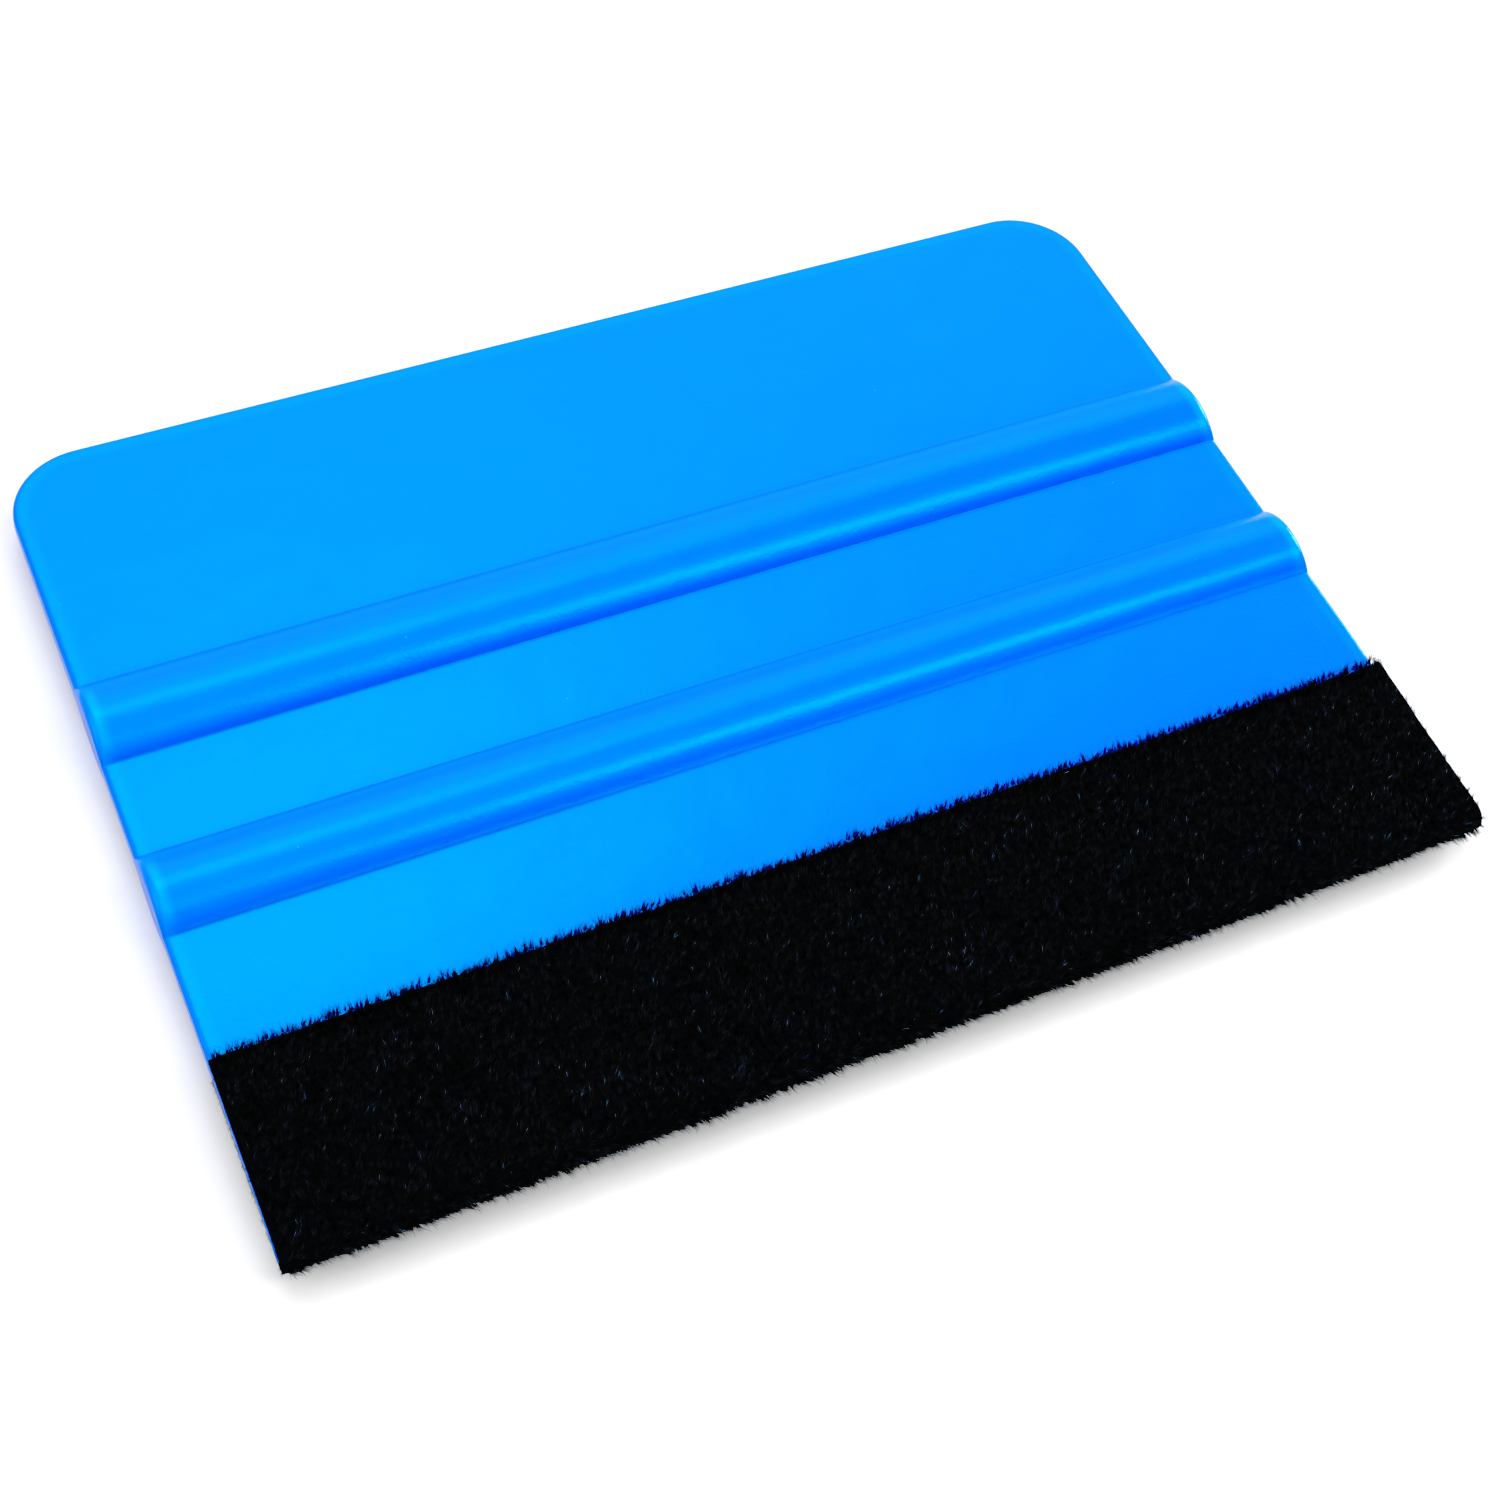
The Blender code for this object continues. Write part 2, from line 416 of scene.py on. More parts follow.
@dataclass(frozen=True)
class CardProfile:
    """How thick the card is along its depth, on one side of its mid-plane.

    Distances along run from the working edge towards the grip edge.
    """

    depth: float
    crest: float
    land: float = 1.0 * MM
    grip_root: float = 1.4 * MM
    grip_edge: float = 0.9 * MM
    edge_radius: float = 0.45 * MM
    taper_length: float = 18.8 * MM
    # Each rib's centre and width.
    ribs: tuple[tuple[float, float], ...] = ((29.55 * MM, 7.2 * MM), (45.65 * MM, 7.8 * MM))
    foot_blend: float = 0.1 * MM

    @property
    def taper(self) -> float:
        """Slope angle of the face that runs from the working edge up to the land."""
        run = self.taper_length - self.edge_radius
        return math.atan2(self.land, run) - math.asin(self.edge_radius / math.hypot(run, self.land))

    @property
    def rib_height(self) -> float:
        """How far a rib stands above the land."""
        return self.crest - self.land

    def rib_radius(self, width: float) -> float:
        """Radius of the rounded back of a rib of some width."""
        return (width**2 / 4 + self.rib_height**2) / (2 * self.rib_height)

    def feet(self) -> list[float]:
        """Where the ribs meet the card: two feet a rib, from the working edge on."""
        found = []
        for (centre, width), far_height in zip(self.ribs, (self.land, self.grip_root)):
            radius = self.rib_radius(width)
            drop = radius - (self.crest - far_height)
            found.append(centre - width / 2)
            found.append(centre + math.sqrt(radius**2 - drop**2))
        return found

    def flat_height(self, along: float) -> float:
        """Height of the taper, the lands and the grip, without the ribs."""
        if along < self.taper_length:
            return self.land - (self.taper_length - along) * math.tan(self.taper)
        if along < self.ribs[-1][0]:
            return self.land
        root = self.feet()[-1]
        return self.grip_root + (self.grip_edge - self.grip_root) * (along - root) / (self.depth - root)

    def height(self, along: float) -> float:
        """Height of the whole face above the mid-plane, ribs and their foot fillets included."""
        height = self.flat_height(along)
        for centre, width in self.ribs:
            radius = self.rib_radius(width)
            sideways = abs(along - centre)
            if sideways < width / 2 + self.foot_blend:
                back = self.crest - radius + math.sqrt(radius**2 - sideways**2)
                height = smooth_max(height, back, self.foot_blend)
        return height

    def stations(self) -> list[float]:
        """Distances at which the card gets a row of vertices: close over ribs, closest at their feet."""
        open_step, foot_step, foot_rows, back_rows = 2.4 * MM, 0.08 * MM, 9, 13
        foot_band = foot_step * foot_rows
        rows = [step * open_step for step in range(1, int(self.depth / open_step))]
        for centre, width in self.ribs:
            rows = [row for row in rows if abs(row - centre) > width / 2 + 2 * foot_band]
        for foot in self.feet():
            rows += [foot + step * foot_step for step in range(-foot_rows, foot_rows + 1)]
        for centre, width in self.ribs:
            radius = self.rib_radius(width)
            sweep = math.asin((width / 2 - foot_band) / radius)
            for step in range(1 - back_rows, back_rows):
                rows.append(centre + radius * math.sin(sweep * step / back_rows))
        return sorted(rows)


@dataclass(frozen=True)
class RibbedCard:
    """The moulded card, ribbed alike on both faces, with rounded rims and a faint parting line."""

    low: Vector
    high: Vector
    profile: CardProfile
    finish: MouldedPolypropylene
    corner_radius: float = 6.5 * MM
    corner_segments: int = 16
    land_rim: float = 0.4 * MM
    rib_rim: float = 0.7 * MM
    rim_rings: int = 8
    # Width of the painted highlight band along the rims.
    painted_light_band: float = 1.6 * MM
    # Width of the painted shade along the outline.
    shade_outline_width: float = 0.25 * MM
    column_step: float = 2.5 * MM
    side_margin: float = 1 * MM
    parting_line: float = 0.03 * MM
    # Width and shares of the painted shade at the rib feet.
    painted_shade_width: float = 0.9 * MM
    far_shade_share: float = 0.35
    land_fade: float = 7.0
    # Share of the painted highlight on the land rims, and the reach and share of the painted light on the
    # slopes behind the ribs.
    land_glow: float = 0.3
    lit_slope: float = 2.0 * MM
    lit_share: float = 0.9

    @property
    def mid_plane(self) -> float:
        """Height of the plane that halves the card."""
        return (self.low.z + self.high.z) / 2

    def rim_distance(self, place: Vector) -> float:
        """How far a point of the plan lies inside the nearest part of the card's outline."""
        side = self.high.x - abs(place.x)
        near = place.y - self.low.y
        far = self.high.y - place.y
        if side < self.corner_radius and far < self.corner_radius:
            inward = math.hypot(self.corner_radius - side, self.corner_radius - far)
            return max(self.corner_radius - inward, 0.0)
        return max(min(side, near, far), 0.0)

    def surface_height(self, place: Vector) -> float:
        """Height of the upper face above the mid-plane at a point of the plan, round rim included."""
        height = self.profile.height(place.y - self.low.y)
        raised = min(max((height - self.profile.land) / self.profile.rib_height, 0.0), 1.0)
        radius = self.land_rim + (self.rib_rim - self.land_rim) * raised
        inside = max(radius - self.rim_distance(place), 0.0)
        return height - (radius - math.sqrt(radius**2 - inside**2))

    def plan(self) -> BMesh:
        """The card's flat outline, its two far corners rounded."""
        shape = bmesh.new()
        near, far = self.low.y, self.high.y
        corners = ((self.low.x, near), (self.high.x, near), (self.high.x, far), (self.low.x, far))
        drawn = [shape.verts.new((*corner, 0)) for corner in corners]
        shape.faces.new(drawn)
        bmesh.ops.bevel(
            shape,
            geom=drawn[2:],
            offset=self.corner_radius,
            offset_type="OFFSET",
            segments=self.corner_segments,
            profile=0.5,
            affect="VERTICES",
            material=-1,
        )
        return shape

    def add_rows(self, shape: BMesh) -> None:
        """Cut the plan with rim rings, rows across the depth and columns across the width."""
        reached = 0.0
        turns = [math.pi / 2 * ring / self.rim_rings for ring in range(1, self.rim_rings + 1)]
        distances = [self.rib_rim * (1 - math.cos(turn)) for turn in turns]
        beyond = self.painted_light_band - self.rib_rim
        distances += [self.rib_rim + beyond * share for share in (0.25, 0.5, 0.75, 1.0)]
        for distance in distances:
            inner = max(shape.faces, key=lambda face: face.calc_area())
            step = distance - reached
            bmesh.ops.inset_individual(shape, faces=[inner], thickness=step, use_even_offset=True)
            reached = distance
        columns = int((self.high.x - self.side_margin) / self.column_step)
        cuts = [((0, self.low.y + row, 0), (0, 1, 0)) for row in self.profile.stations()]
        cuts += [((step * self.column_step, 0, 0), (1, 0, 0)) for step in range(-columns, columns + 1)]
        for place, across in cuts:
            everything = shape.verts[:] + shape.edges[:] + shape.faces[:]
            bmesh.ops.bisect_plane(shape, geom=everything, dist=1e-7, plane_co=place, plane_no=across)

    def slope_light(self, along: float) -> float:
        """Painted light: how far the slope behind a rib is painted as lit by the land beyond it, most just
        above its foot.
        """
        heights = [foot - along for foot in self.profile.feet()[1::2] if foot > along]
        climbed = min(heights, default=self.lit_slope) / self.lit_slope
        return self.lit_share * smooth_step(3 * climbed) * smooth_step(1 - climbed)

    def mark(self, shape: BMesh) -> None:
        """Note on each vertex its painted shade, near a rib's crease and the outline, and its painted
        light, near the rim and on the slopes behind the ribs.
        """
        painted_shade = shape.verts.layers.float.new("painted_shade")
        painted_light = shape.verts.layers.float.new("painted_light")
        feet = self.profile.feet()
        for vert in shape.verts:
            along = vert.co.y - self.low.y
            inside = self.rim_distance(vert.co)
            # A near foot's painted shade lies on the slope behind it and hardly reaches the land in front.
            near = min(max(along - foot, self.land_fade * (foot - along)) for foot in feet[::2])
            far = min(abs(along - foot) for foot in feet[1::2])
            shades = [smooth_step(1 - away / self.painted_shade_width) for away in (near, far)]
            foot_shade = max(shades[0], self.far_shade_share * shades[1])
            fade = smooth_step(inside / (2 * self.rib_rim))
            outline = smooth_step(1 - inside / self.shade_outline_width)
            # Painted shade: deeper blue at the rib feet and along the outline.
            vert[painted_shade] = max(fade * foot_shade, outline)
            above = self.profile.height(along) - self.profile.land
            raised = smooth_step(above / self.profile.rib_height)
            edge = math.sin(math.pi * min(inside / self.painted_light_band, 1.0)) ** 2
            strength = self.land_glow + (1 - self.land_glow) * raised
            # Painted highlight: paler blue along the rims and on the slopes behind the ribs.
            vert[painted_light] = max(strength * edge, self.slope_light(along))

    def build(self) -> None:
        """Raise the plan to the ribbed face, mirror it and join both faces round the rim."""
        shape = self.plan()
        self.add_rows(shape)
        self.mark(shape)
        for vert in shape.verts:
            vert.co.z = self.surface_height(vert.co)
        outline = [edge for edge in shape.edges if edge.is_boundary]
        walls = bmesh.ops.extrude_edge_only(shape, edges=outline)["geom"]
        middle = [part for part in walls if isinstance(part, BMVert)]
        for vert in middle:
            vert.co.z = 0.0
            vert.co.x += math.copysign(self.parting_line, vert.co.x)
        whole = shape.verts[:] + shape.edges[:] + shape.faces[:]
        bmesh.ops.mirror(shape, geom=whole, matrix=Matrix.Identity(4), merge_dist=1e-7, axis="Z")
        bmesh.ops.remove_doubles(shape, verts=shape.verts, dist=1e-6)
        bmesh.ops.recalc_face_normals(shape, faces=shape.faces)
        bmesh.ops.translate(shape, verts=shape.verts, vec=(0, 0, self.mid_plane))
        card = finish_piece("moulded_card", shape, self.finish.material())
        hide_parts("ribbed_card")


# ---------------------------------------------------------------- the felt


@dataclass(frozen=True)
class WrapPath:
    """The line that a layer follows round the working edge, at any distance from the card."""

    edge_y: float
    mid_plane: float
    edge_radius: float
    taper: float
    reach: float

    @property
    def run(self) -> float:
        """Length of each straight leg."""
        start = self.edge_radius * (1 - math.sin(self.taper))
        return (self.reach - start) / math.cos(self.taper)

    def length(self, offset: float) -> float:
        """Length of the whole line at a distance from the card."""
        return 2 * self.run + (self.edge_radius + offset) * (math.pi - 2 * self.taper)

    def at(self, offset: float, travel: float) -> tuple[Vector, Vector, Vector]:
        """A place on the line.

        Args:
            offset: distance from the card.
            travel: distance along the line, from its lower end round to its upper end.

        Returns:
            The point, the outward direction and the direction of travel, each at X = 0.
        """
        radius = self.edge_radius + offset
        bend = radius * (math.pi - 2 * self.taper)
        turned = min(max((travel - self.run) / bend, 0.0), 1.0)
        angle = -(math.pi / 2 + self.taper) - turned * (math.pi - 2 * self.taper)
        outward = Vector((0, math.cos(angle), math.sin(angle)))
        onward = Vector((0, outward.z, -outward.y))
        straight = min(travel - self.run, 0.0) + max(travel - self.run - bend, 0.0)
        hub = Vector((0, self.edge_y + self.edge_radius, self.mid_plane))
        return hub + outward * radius + onward * straight, outward, onward


@dataclass(frozen=True)
class FeltStrip:
    """The felt, folded round the working edge: an even sheet with a matted outer face."""

    low: Vector
    high: Vector
    path: WrapPath
    finish: NeedlePunchedFelt
    thickness: float = 0.65 * MM
    column_step: float = 0.5 * MM
    row_step: float = 0.45 * MM
    bend_rows: int = 14
    lump_size: float = 1.6 * MM
    lump_height: float = 0.06 * MM
    lump_detail: tuple[float, float, int] = (0.8, 2.0, 3)  # dimension, lacunarity and octaves
    edge_wander: float = 0.12 * MM
    wander_size: float = 1.3 * MM
    spread: float = 0.25 * MM  # how far brushing has driven each cut end outwards

    @property
    def outer(self) -> float:
        """Distance of the felt's outer face from the card."""
        return self.path.edge_y - self.low.y

    @property
    def inner(self) -> float:
        """Distance of the felt's inner face from the card."""
        return self.outer - self.thickness

    @property
    def flat(self) -> tuple[float, float]:
        """The size that the strip was cut to: along the working edge, and from end to end round it."""
        return (self.high.x - self.low.x, self.path.length(self.outer - self.thickness / 2))

    def travels(self) -> list[float]:
        """Distances along the wrap at which the sheet gets a row of vertices, finer round the bend."""
        legs = round(self.path.run / self.row_step)
        bend = self.path.length(self.inner) - 2 * self.path.run
        rows = [self.path.run * step / legs for step in range(legs)]
        rows += [self.path.run + bend * step / self.bend_rows for step in range(self.bend_rows)]
        rows += [self.path.run * (1 + step / legs) + bend for step in range(legs + 1)]
        return rows

    def build(self) -> Object:
        """Draw the wrap, draw it out along the edge, thicken it and mat its outer face.

        Returns:
            The felt strip.
        """
        shape = bmesh.new()
        start = Vector((self.low.x - self.spread, 0, 0))
        line = [shape.verts.new(start + self.path.at(self.inner, travel)[0]) for travel in self.travels()]
        for pair in zip(line, line[1:]):
            shape.edges.new(pair)
        drawn = bmesh.ops.extrude_edge_only(shape, edges=shape.edges[:])["geom"]
        moved = [part for part in drawn if isinstance(part, BMVert)]
        bmesh.ops.translate(shape, verts=moved, vec=(self.flat[0] + 2 * self.spread, 0, 0))
        across = [edge for edge in shape.edges if edge.calc_length() > 2 * self.row_step]
        columns = round(self.flat[0] / self.column_step)
        bmesh.ops.subdivide_edges(shape, edges=across, cuts=columns - 1)
        bmesh.ops.recalc_face_normals(shape, faces=shape.faces)
        shape.normal_update()
        if sum(self.side_of(vert) for vert in shape.verts) < 0:
            bmesh.ops.reverse_faces(shape, faces=shape.faces)
        bmesh.ops.solidify(shape, geom=shape.faces[:], thickness=-self.thickness)
        shape.normal_update()
        for vert in shape.verts:
            self.mat(vert)
        bmesh.ops.recalc_face_normals(shape, faces=shape.faces)
        felt = finish_piece("felt_sheet", shape, self.finish.material())
        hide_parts("felt_edge_strip")
        return felt

    def from_card(self, place: Vector) -> float:
        """Distance of a point from the card's working edge, sides and nose alike."""
        hub_y = self.path.edge_y + self.path.edge_radius
        up = abs(place.z - self.path.mid_plane)
        forward = place.y - hub_y
        if forward < 0:
            return math.hypot(forward, up) - self.path.edge_radius
        return up * math.cos(self.path.taper) - forward * math.sin(self.path.taper) - self.path.edge_radius

    def side_of(self, vert: BMVert) -> float:
        """Positive where a vertex's normal points away from the card."""
        step = 0.1 * MM
        return self.from_card(vert.co + vert.normal * step) - self.from_card(vert.co)

    def mat(self, vert: BMVert) -> None:
        """Give one vertex of the outer face its lump, and one of the back edges its wander."""
        middle = (self.inner + self.outer) / 2
        if self.from_card(vert.co) > middle:
            lump = noise.fractal(vert.co / self.lump_size, *self.lump_detail)
            vert.co += vert.normal * lump * self.lump_height
        if vert.co.y > self.path.edge_y + self.path.reach - self.row_step / 2:
            wander = noise.noise(Vector((vert.co.x / self.wander_size, 0.0, vert.co.z)))
            vert.co.y += self.edge_wander * wander


class TuftStyle(Enum):
    """How a tuft of nap is grown: brushed pile all over, or the loose fringe of a cut edge."""

    PILE = "pile"
    FRINGE = "fringe"


@dataclass(frozen=True)
class Tuft:
    """A small bunch of bent, tapered fibres that grows up from the origin."""

    style: TuftStyle
    fibres: int
    spread: float
    shortest: float
    longest: float
    lean: float
    radius: float
    tip_share: float  # how much of the radius is left at the tip
    bend: float
    palest: float
    shade_play: float = 0.12
    lint_share: float = 0.004
    rows: int = 64

    def add_fibre(self, shape: BMesh, shade: float, facing: float, draw: random.Random) -> None:
        """Grow one fibre and lay it on the shared colour map.

        Args:
            shape: the tuft's mesh.
            shade: how pale the tuft is, from 0 to 1.
            facing: the way in which the tuft bends.
            draw: the source of random choices.
        """
        length = draw.uniform(self.shortest, self.longest)
        layout = shape.loops.layers.uv["OFBake"]
        cone = bmesh.ops.create_cone(
            shape,
            cap_ends=True,
            cap_tris=False,
            segments=3,
            radius1=self.radius,
            radius2=self.radius * self.tip_share,
            depth=length,
            matrix=Matrix.Translation((0, 0, length / 2)),
        )["verts"]
        faces = list({face for vert in cone for face in vert.link_faces})
        edges = list({edge for vert in cone for edge in vert.link_edges})
        bmesh.ops.bisect_plane(
            shape,
            geom=cone + edges + faces,
            dist=1e-8,
            plane_co=(0, 0, length * 0.5),
            plane_no=(0, 0, 1),
        )
        fibre = self.connected(cone[0])
        # The paleness picks the fibre's row on the colour map; the paler rows carry painted glint tips.
        paleness = min(max(draw.gauss(shade, self.shade_play), 0.0), 0.97)
        last = self.rows - 1
        row = (last if draw.random() < self.lint_share else int(paleness * last)) / self.rows
        margin = 0.1  # of a row, kept clear on both sides
        widest = 1.34 * math.pi  # half a turn, and a little over a face's own 60 degrees
        for face in {face for vert in fibre for face in vert.link_faces}:
            middle = face.calc_center_median()
            turn = math.atan2(middle.y, middle.x)
            for loop in face.loops:
                place = loop.vert.co
                around = math.remainder(math.atan2(place.y, place.x) - turn, math.tau) + turn
                across = margin + (1 - 2 * margin) * (around + widest) / (2 * widest)
                loop[layout].uv = (0.02 + 0.96 * place.z / length, row + across / self.rows)
        bend = draw.uniform(0.2, 1.0) * self.bend * length
        facing += draw.gauss(0, 0.5)
        foot = Vector((draw.gauss(0, self.spread), draw.gauss(0, self.spread), 0))
        tilt = Vector((draw.gauss(0, self.lean), draw.gauss(0, self.lean), 1)).normalized()
        turn_over = Vector((0, 0, 1)).rotation_difference(tilt).to_matrix()
        for vert in fibre:
            share = vert.co.z / length
            vert.co.x += math.cos(facing) * bend * share * share
            vert.co.y += math.sin(facing) * bend * share * share
            vert.co = turn_over @ vert.co + foot

    @staticmethod
    def connected(first: BMVert) -> set[BMVert]:
        """Every vertex that hangs together with the first one."""
        found, waiting = {first}, [first]
        while waiting:
            vert = waiting.pop()
            for edge in vert.link_edges:
                other = edge.other_vert(vert)
                if other not in found:
                    found.add(other)
                    waiting.append(other)
        return found

    def mesh(self, draw: random.Random) -> Mesh:
        """Grow the tuft, as a mesh to be repeated."""
        shape = bmesh.new()
        shape.loops.layers.uv.new("OFBake")
        shade, facing = self.palest * draw.random(), draw.uniform(0, math.tau)
        for _ in range(self.fibres):
            self.add_fibre(shape, shade, facing, draw)
        mesh = bpy.data.meshes.new(f"tuft_{self.style.value}")
        shape.to_mesh(mesh)
        shape.free()
        return mesh


@dataclass(frozen=True)
class Root:
    """Where a tuft stands, which way it grows and its scale."""

    point: Vector
    growth: Vector
    size: float


@dataclass(frozen=True)
class FeltNap:
    """The brushed nap on the felt's outer face, and the fringe along its cut back edges."""

    strip: FeltStrip
    finish: PolyesterNap
    reach_x: float
    # Real fibres are about 0.02 mm thick: drawn two to three times as thick, so that they show.
    pile: Tuft = Tuft(
        TuftStyle.PILE,
        fibres=9,
        spread=0.06 * MM,
        shortest=0.5 * MM,
        longest=1.1 * MM,
        lean=0.13,
        radius=0.028 * MM,
        tip_share=0,
        bend=0.5,
        palest=1.0,
    )
    pile_kinds: int = 40
    fringe: Tuft = Tuft(
        TuftStyle.FRINGE,
        fibres=8,
        spread=0.1 * MM,
        shortest=0.6 * MM,
        longest=1.3 * MM,
        lean=0.25,
        radius=0.02 * MM,
        tip_share=0.5,
        bend=0.9,
        palest=0.5,
    )
    fringe_kinds: int = 16
    pieces: int = 10
    pile_step: float = 0.46 * MM
    fringe_step: float = 0.1 * MM
    fringe_root: float = 0.5 * MM
    edge_growth: float = 0.1
    clump_size: float = 1.1 * MM
    rooting: float = 0.1 * MM
    end_play: float = 0.15 * MM
    end_step: float = 0.3 * MM
    floor_gap: float = 0.05 * MM
    swirl: float = 0.6
    ruffle: float = 0.15
    lift: float = 0.7
    seed: int = 20

    def grain(self, place: Vector, outward: Vector, onward: Vector, draw: random.Random) -> Vector:
        """Which way the nap lies at a place: brushed back and to the right, in swirls."""
        swirl = noise.noise_vector(place / (2.5 * self.clump_size))
        flat = abs(outward.z)
        sideways = 1.0 - 0.6 * flat + self.swirl * swirl.x + draw.gauss(0, self.ruffle)
        onwards = 0.8 * flat + self.swirl * swirl.y + draw.gauss(0, self.ruffle)
        return (self.lift * outward + Vector((sideways, 0, 0)) + onwards * onward).normalized()

    def pile_places(self, ends: tuple[float, float], draw: random.Random) -> Iterator[Root]:
        """Where the brushed tufts stand between two stations along the working edge.

        Args:
            ends: the two X.
            draw: the source of random choices.

        Yields:
            A root for each tuft.
        """
        path, outer = self.strip.path, self.strip.outer
        rounds = round(path.length(outer) / self.pile_step)
        start, end = ends
        columns = round((end - start) / self.pile_step)
        for column in range(columns):
            for row in range(rounds):
                x = start + (column + draw.random()) * (end - start) / columns
                travel = (row + draw.random()) * path.length(outer) / rounds
                point, outward, onward = path.at(outer - self.rooting, travel)
                point.x = x
                growth = self.grain(point, outward, onward, draw)
                size = draw.uniform(0.75, 1.15) + self.edge_growth * (1 - abs(outward.z))
                yield Root(point, growth, size)

    def fringe_places(self, ends: tuple[float, float], draw: random.Random) -> Iterator[Root]:
        """Where the loose tufts of both back edges stand, in clumps of uneven length.

        Args:
            ends: the two X.
            draw: the source of random choices.

        Yields:
            A root for each tuft.
        """
        path, strip = self.strip.path, self.strip
        start, end = ends
        columns = round((end - start) / self.fringe_step)
        for lower in (True, False):
            for column in range(columns):
                x = start + (column + draw.random()) * (end - start) / columns
                depth = draw.uniform(0.25, 1.0)
                offset = strip.inner + depth * (strip.outer - strip.inner)
                travel = self.fringe_root if lower else path.length(offset) - self.fringe_root
                point, outward, onward = path.at(offset, travel)
                point.x = x
                clump = noise.noise(Vector((x / self.clump_size, 5.0 if lower else 0.0, 0)))
                away = -onward if lower else onward
                sway = Vector((0.35 + 0.8 * clump + draw.gauss(0, 0.2), 0, 0))
                growth = 0.8 * away + (0.3 + 0.8 * depth) * outward + sway
                yield Root(point, growth.normalized(), 0.6 + 0.6 * smooth_step(0.5 + clump))

    def end_places(self, draw: random.Random) -> Iterator[Root]:
        """Where loose fibres stand on the strip's two cut ends, short and close."""
        path, strip = self.strip.path, self.strip
        rounds = round(path.length(strip.outer) / self.end_step)
        for end, side in ((strip.low.x - strip.spread, -1), (strip.high.x + strip.spread, 1)):
            for row in range(rounds):
                offset = strip.inner + draw.random() * strip.thickness
                travel = (row + draw.random()) * path.length(offset) / rounds
                point, outward, onward = path.at(offset, travel)
                point.x = end - side * self.rooting
                sway = outward * draw.uniform(0, 0.8) + onward * draw.gauss(0, 0.3)
                growth = (Vector((side, 0, 0)) + sway).normalized()
                yield Root(point, growth, draw.uniform(0.2, 0.4))

    @staticmethod
    def plant(shape: BMesh, tufts: list[Mesh], roots: Iterable[Root], draw: random.Random) -> None:
        """Stand a tuft, chosen and spun at random, on every root.

        Args:
            shape: the mesh that gathers them.
            tufts: the tufts to choose from.
            roots: where they stand.
            draw: the source of random choices.
        """
        for root in roots:
            turn = Vector((0, 0, 1)).rotation_difference(root.growth).to_matrix().to_4x4()
            spin = Matrix.Rotation(draw.uniform(0, math.tau), 4, "Z")
            place = Matrix.Translation(root.point) @ turn @ spin @ Matrix.Scale(root.size, 4)
            tuft = draw.choice(tufts)
            tuft.transform(place)
            shape.from_mesh(tuft, face_normals=False, vertex_normals=False)
            tuft.transform(place.inverted())

    def build(self) -> list[Object]:
        """Grow the nap in lengths along the working edge.

        Returns:
            The lengths of nap.
        """
        draw = random.Random(self.seed)
        noise.seed_set(self.seed)
        pile_tufts = [self.pile.mesh(draw) for _ in range(self.pile_kinds)]
        fringe_tufts = [self.fringe.mesh(draw) for _ in range(self.fringe_kinds)]
        material = self.finish.material()
        low = self.strip.low.x - self.strip.spread + self.end_play
        high = self.strip.high.x + self.strip.spread - self.end_play
        step = (high - low) / self.pieces
        grown = []
        for number in range(self.pieces):
            ends = (low + number * step, low + (number + 1) * step)
            shape = bmesh.new()
            self.plant(shape, pile_tufts, self.pile_places(ends, draw), draw)
            self.plant(shape, fringe_tufts, self.fringe_places(ends, draw), draw)
            if number == 0:
                self.plant(shape, fringe_tufts, self.end_places(draw), draw)
            for vert in shape.verts:
                vert.co.x = math.copysign(min(abs(vert.co.x), self.reach_x), vert.co.x)
                vert.co.z = max(vert.co.z, self.floor_gap)
            piece = finish_piece(f"felt_nap_{number + 1}", shape, material)
            grown.append(piece)
        for tuft in pile_tufts + fringe_tufts:
            bpy.data.meshes.remove(tuft)
        return grown


@dataclass(frozen=True)
class AdhesiveFilm:
    """The adhesive between card and felt: the CAD shape, given its finish."""

    node: Object
    finish: AcrylicAdhesive

    def dress(self) -> None:
        """Put the finish on the film's own material slots."""
        material = self.finish.material()
        for place in self.node.material_slots:
            place.material = material
        LOG.info("%s: CAD shape kept", self.node.name)


# ---------------------------------------------------------------- the studio


@dataclass(frozen=True)
class Softbox:
    """A soft rectangular light that faces the tool."""

    name: str
    azimuth: float  # degrees from +Y towards +X
    elevation: float  # degrees above the floor
    distance: float
    width: float
    height: float
    radiance: float

    def place(self) -> None:
        """Hang the light and turn it to the tool, with its long side along the ribs."""
        around, up = math.radians(self.azimuth), math.radians(self.elevation)
        towards = Vector((math.sin(around) * math.cos(up), math.cos(around) * math.cos(up), math.sin(up)))
        lamp = bpy.data.lights.new(self.name, "AREA")
        lamp.shape = "RECTANGLE"
        lamp.size = self.width
        lamp.size_y = self.height
        lamp.energy = self.radiance * math.pi * self.width * self.height
        light = bpy.data.objects.new(self.name, lamp)
        bpy.context.scene.collection.objects.link(light)
        light.location = towards * self.distance
        side = (Vector((1, 0, 0)) - towards * towards.x).normalized()
        light.rotation_euler = Matrix((side, towards.cross(side), towards)).transposed().to_euler()


class Join(Enum):
    """How one glow of the surroundings joins those before it."""

    FADES_THEM = "MULTIPLY"
    OUTSHINES_THEM = "MAXIMUM"


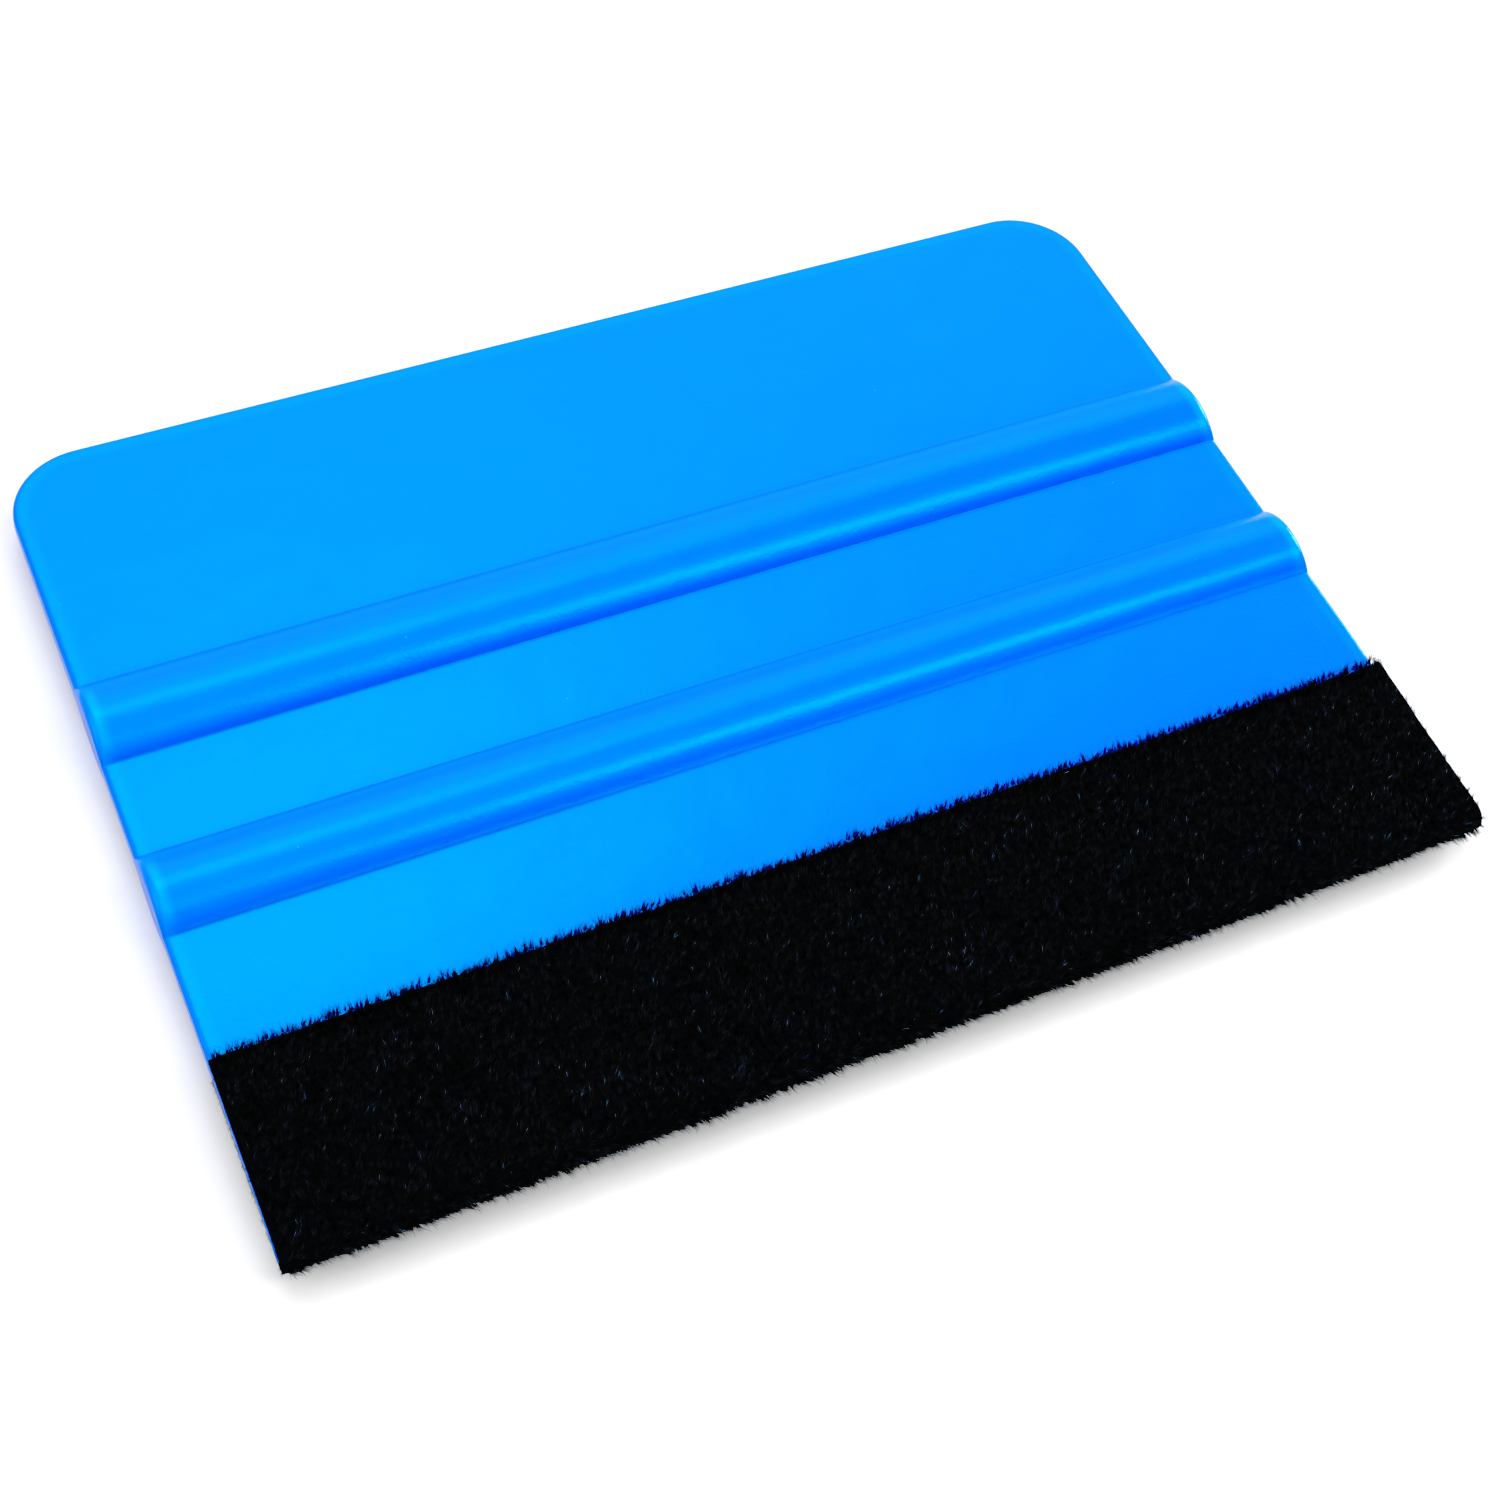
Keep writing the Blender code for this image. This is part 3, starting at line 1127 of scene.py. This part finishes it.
@dataclass(frozen=True)
class Glow:
    """Brightness of the surroundings that rises smoothly towards one direction."""

    towards: tuple[float, float, float]
    edge: tuple[float, float]  # how far along that direction the rise starts and ends
    span: tuple[float, float]  # the brightness before and after the rise
    join: Join

    def brightness(self, tree: NodeTree, looking: NodeSocket) -> NodeSocket:
        """The glow's brightness in the direction looked in."""
        along = add_node(tree, "VectorMath", {1: self.towards}, {0: looking}, operation="DOT_PRODUCT")
        names = ("From Min", "From Max", "To Min", "To Max")
        rise = add_node(
            tree,
            "MapRange",
            dict(zip(names, self.edge + self.span)),
            {"Value": along.outputs["Value"]},
            interpolation_type="SMOOTHSTEP",
        )
        return rise.outputs["Result"]


@dataclass(frozen=True)
class Studio:
    """A pale floor, soft light and the camera."""

    floor_finish: MattBoard
    floor_size: float = 12.0
    glinting: float = 2.5
    dim: float = 0.15
    # The finished print's contrast: deep tones fall away, the rest stays as it is.
    toe: tuple[tuple[float, float], ...] = ((0.08, 0.006), (0.13, 0.1), (0.18, 0.18))
    glows: tuple[Glow, ...] = (
        Glow((-0.6, 1.0, 0.0), (0.08, 0.24), (0.0, 1.0), Join.FADES_THEM),
        Glow((1.0, 0.0, 0.0), (-0.35, -0.05), (0.5, 1.0), Join.FADES_THEM),
        Glow((0.0, 0.0, 1.0), (0.05, 0.6), (0.35, 1.0), Join.FADES_THEM),
        Glow((-0.1, -0.1, 1.0), (0.84, 0.97), (0.0, 0.85), Join.OUTSHINES_THEM),
    )
    camera_place: tuple[float, float, float] = (-0.06015, -0.09465, 0.15254)
    camera_turn: tuple[float, float, float] = (33.915, -6.370, -24.615)  # degrees
    lens: float = 55.10
    sensor: float = 36.0
    # Each: name, azimuth, elevation, distance, width, height and radiance.
    softboxes: tuple[Softbox, ...] = (
        Softbox("overhead_softbox", 5, 62.5, 0.8, 0.28, 0.24, 3.4),
        Softbox("left_softbox", -150, 40, 0.8, 0.60, 0.50, 1.3),
        Softbox("side_fill", -80, 28, 0.8, 0.40, 0.40, 2.5),
        Softbox("right_softbox", 80, 24, 0.8, 0.40, 0.40, 10.5),
        Softbox("front_strip", 135, 57.5, 0.8, 0.42, 0.10, 13.0),
        Softbox("front_fill", 160, 12, 0.8, 0.60, 0.30, 3.6),
    )

    def lay_floor(self) -> None:
        """Lay the floor just under the tool."""
        shape = bmesh.new()
        bmesh.ops.create_grid(shape, x_segments=8, y_segments=8, size=self.floor_size / 2)
        floor = make_object("floor", shape, self.floor_finish.material())

    def surroundings(self, tree: NodeTree) -> Node:
        """A room that is pale behind the tool and above it, half as pale to its left, dim elsewhere."""
        looking = add_node(tree, "TexCoord").outputs["Generated"]
        brightness = self.glows[0].brightness(tree, looking)
        for glow in self.glows[1:]:
            links = {0: brightness, 1: glow.brightness(tree, looking)}
            brightness = add_node(tree, "Math", links=links, operation=glow.join.value).outputs["Value"]
        ends = {"To Min": self.dim, "To Max": self.glinting}
        strength = add_node(tree, "MapRange", ends, {"Value": brightness})
        return add_node(tree, "Background", links={"Strength": strength.outputs["Result"]})

    def light(self) -> None:
        """Light the tool: the surroundings and the softboxes."""
        world = bpy.data.worlds.new("pale_surround")
        world.use_nodes = True
        world.node_tree.nodes.clear()
        tree = world.node_tree
        add_node(tree, "OutputWorld", links={"Surface": self.surroundings(tree).outputs[0]})
        bpy.context.scene.world = world
        for softbox in self.softboxes:
            softbox.place()

    def grade(self) -> None:
        """Set the contrast of the finished picture."""
        display = bpy.context.scene.view_settings
        display.view_transform = "Standard"
        display.use_curve_mapping = True
        for point in self.toe:
            display.curve_mapping.curves[3].points.new(*point).handle_type = "VECTOR"
        display.curve_mapping.update()

    def aim_camera(self) -> None:
        """Set up the camera, looking down on the tool from its near left."""
        data = bpy.data.cameras.new("camera")
        data.lens = self.lens
        data.sensor_width = self.sensor
        data.clip_start = 0.01
        data.clip_end = 50.0
        camera = bpy.data.objects.new("camera", data)
        camera.location = self.camera_place
        camera.rotation_euler = Euler([math.radians(angle) for angle in self.camera_turn])
        bpy.context.scene.collection.objects.link(camera)
        bpy.context.scene.camera = camera

    def set_up(self) -> None:
        """Make the floor, the lights and the camera."""
        self.aim_camera()
        self.lay_floor()
        self.light()
        self.grade()
        LOG.info("studio: %d softboxes", len(self.softboxes))


def main() -> None:
    """Build the tool round its frame, piece by piece, and then the studio."""
    logging.basicConfig(level=logging.INFO, format="%(name)s: %(message)s")
    card_low, card_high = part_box("ribbed_card")
    felt_low, felt_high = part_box("felt_edge_strip")
    profile = CardProfile(depth=card_high.y - card_low.y, crest=(card_high.z - card_low.z) / 2)
    card = RibbedCard(card_low, card_high, profile, MouldedPolypropylene())
    card.build()
    reach = felt_high.y - card_low.y
    path = WrapPath(card_low.y, card.mid_plane, profile.edge_radius, profile.taper, reach)
    strip = FeltStrip(felt_low, felt_high, path, NeedlePunchedFelt())
    felt = strip.build()
    nap = FeltNap(strip, PolyesterNap(), card_high.x + 0.1 * MM).build()
    strip.flat
    AdhesiveFilm(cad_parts["adhesive_film"], AcrylicAdhesive()).dress()
    Studio(MattBoard()).set_up()


if __name__ == "__main__":
    main()
